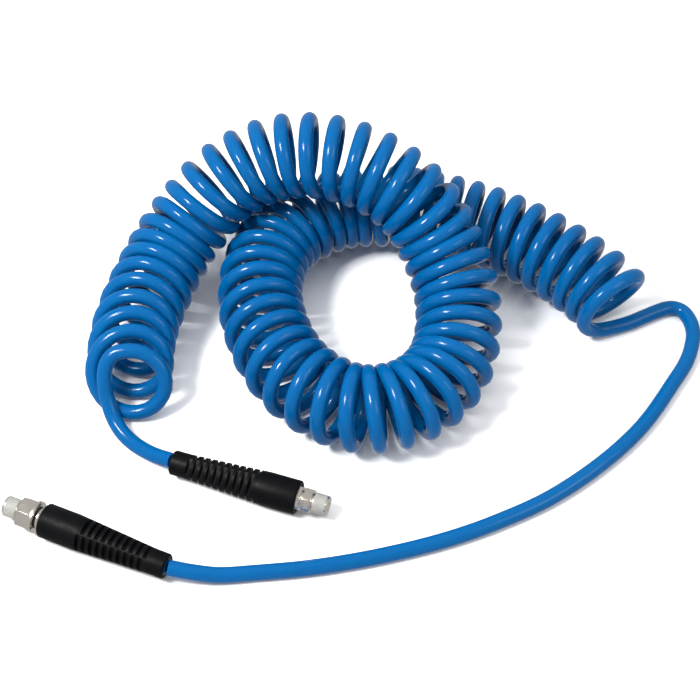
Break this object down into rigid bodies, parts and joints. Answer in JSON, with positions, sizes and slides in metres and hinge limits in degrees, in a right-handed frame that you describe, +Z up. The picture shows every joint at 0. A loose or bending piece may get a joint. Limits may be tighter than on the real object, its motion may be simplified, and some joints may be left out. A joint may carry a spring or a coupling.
{
  "type": "coiled air hose",
  "caption": "Coiled polyurethane air hose lying in a loop, with plain leads, slotted rubber boots, a fixed male fitting and a swivelling male fitting.",
  "frame": {"origin": "centre of the object's outline on the bench it lies on", "axes": "+Z up from the bench; +X along the longest side of the outline, towards the outer bend of the long lead; +Y from the fittings towards the top of the coil"},
  "size_m": [0.4553, 0.3185, 0.1238],
  "materials": {
    "hose": "glossy, slightly clear blue polyurethane",
    "boot": "satin black rubber",
    "nickel": "bright nickel plate on machined brass",
    "brass": "plain machined brass",
    "sealant": "white thread sealant",
    "washer": "dark acetal washer",
    "oring": "black nitrile rubber",
    "spring_steel": "spring steel"
  },
  "bodies": {
    "hose": {"hose_coil": "hose", "hose_lead_short": "hose", "hose_lead_long": "hose", "hose_end_fixed": "hose", "hose_end_swivel": "hose", "boot_fixed": "boot", "boot_swivel": "boot", "clamp_nut_fixed": "nickel", "clamp_nut_swivel": "nickel", "clamp_ring_fixed": "brass", "clamp_ring_swivel": "brass", "nipple_fixed": "nickel", "thread_seal_fixed": "sealant", "swivel_stem": "nickel", "swivel_washer": "washer", "swivel_oring_inner": "oring", "swivel_oring_outer": "oring", "swivel_snap_ring": "spring_steel"},
    "swivel": {"swivel_body": "nickel", "thread_seal_swivel": "sealant"}
  },
  "joints": [
    {"name": "swivel_turn", "type": "hinge", "parent": "hose", "child": "swivel", "pos_m": [-0.2, -0.119, 0.011], "axis": [-0.9205, 0.3907, 0], "continuous": true}
  ]
}
